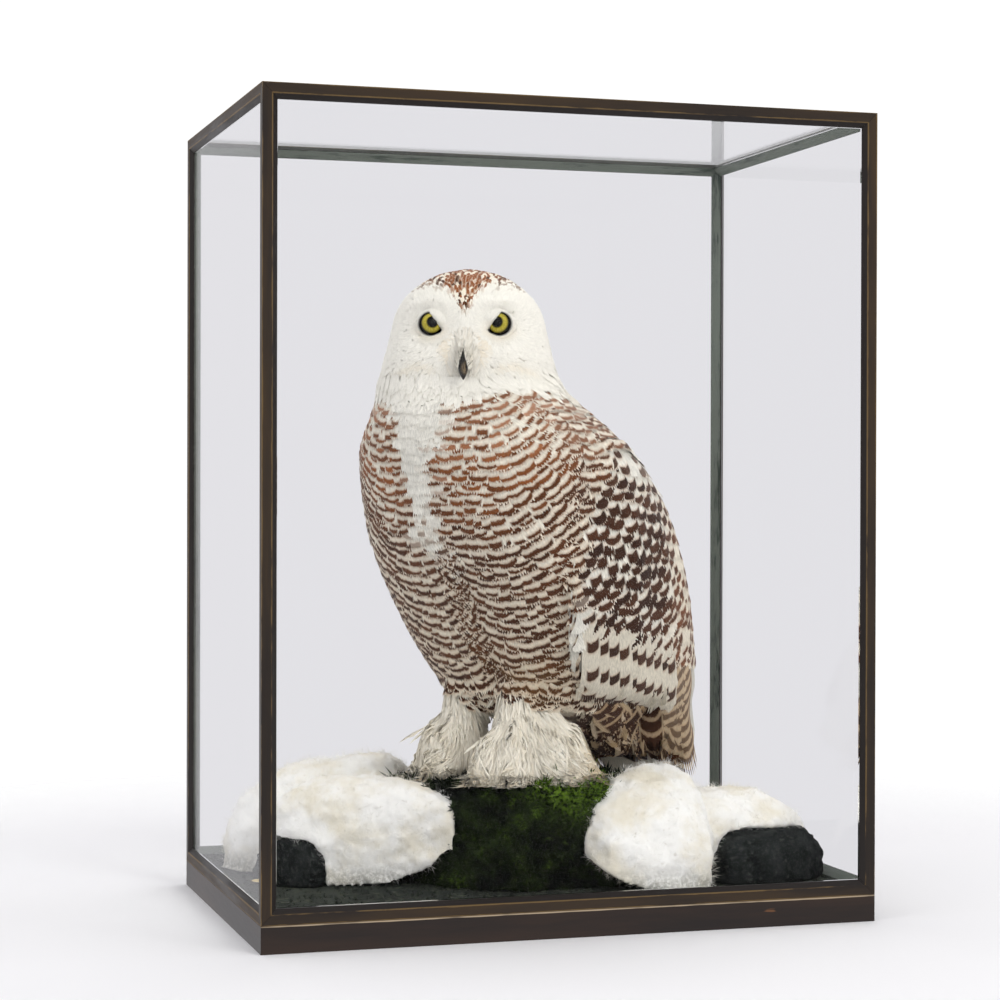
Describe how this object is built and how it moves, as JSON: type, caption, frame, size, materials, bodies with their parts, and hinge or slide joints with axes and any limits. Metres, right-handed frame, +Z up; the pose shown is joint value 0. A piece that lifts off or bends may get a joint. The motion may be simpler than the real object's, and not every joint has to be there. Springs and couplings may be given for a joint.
{
  "type": "cased taxidermy snowy owl",
  "caption": "Mounted snowy owl, standing with folded wings and turned head, on a mossy mound between cotton snow heaps in a glazed case with a thin dark frame and low plinth.",
  "frame": {"origin": "middle of the case's underside, on the surface it stands on", "axes": "+Z up, +Y from the front pane to the back pane, +X to the right seen from the front"},
  "size_m": [0.6176, 0.405, 0.8],
  "materials": {
    "case_glass": "thin clear old window glass, faintly dusty",
    "frame_bars": "dark painted wooden bars, worn to olive brown on the edges, near black on the inner bevel",
    "plinth_wood": "dark brown-black stained wood, semi-gloss, rubbed at the top edge",
    "base_board": "plain brown softwood board",
    "label_card": "small plain cream card disc",
    "ground": "near black green painted groundwork",
    "moss": "dried moss, bright green to black green",
    "rock": "dark blue-black papier-mache rock",
    "cotton_snow": "off-white cotton wool snow, fibrous",
    "plumage": "overlapping feathers, cream white barred rust and dark umber",
    "bill": "black horn, semi-gloss",
    "glass_eye": "glass eye, yellow olive iris, black pupil",
    "claw": "black horn claw"
  },
  "bodies": {
    "root": {"case_glass_front": "case_glass", "case_glass_back": "case_glass", "case_glass_left": "case_glass", "case_glass_right": "case_glass", "case_glass_top": "case_glass", "case_plinth_front": "plinth_wood", "case_plinth_back": "plinth_wood", "case_plinth_right": "plinth_wood", "case_plinth_left": "plinth_wood", "case_rail_bottom_front": "frame_bars", "case_rail_bottom_back": "frame_bars", "case_rail_bottom_left": "frame_bars", "case_rail_bottom_right": "frame_bars", "case_rail_top_front": "frame_bars", "case_rail_top_back": "frame_bars", "case_rail_top_left": "frame_bars", "case_rail_top_right": "frame_bars", "case_post_front_left": "frame_bars", "case_post_front_right": "frame_bars", "case_post_back_left": "frame_bars", "case_post_back_right": "frame_bars", "case_base_board": "base_board", "case_label": "label_card", "ground_bed": "ground", "ground_mound": "moss", "rock_left": "rock", "rock_right": "rock", "snow_left_front": "cotton_snow", "snow_left_rear": "cotton_snow", "snow_right": "cotton_snow", "owl_head": "plumage", "owl_neck": "plumage", "owl_trunk": "plumage", "owl_tail": "plumage", "owl_wing_left": "plumage", "owl_wing_right": "plumage", "owl_leg_left": "plumage", "owl_leg_right": "plumage", "owl_foot_left": "plumage", "owl_foot_right": "plumage", "owl_bill_upper": "bill", "owl_bill_lower": "bill", "owl_eye_left": "glass_eye", "owl_eye_right": "glass_eye", "owl_claw_left_inner": "claw", "owl_claw_left_middle": "claw", "owl_claw_left_outer": "claw", "owl_claw_left_hind": "claw", "owl_claw_right_inner": "claw", "owl_claw_right_middle": "claw", "owl_claw_right_outer": "claw", "owl_claw_right_hind": "claw"}
  },
  "joints": []
}
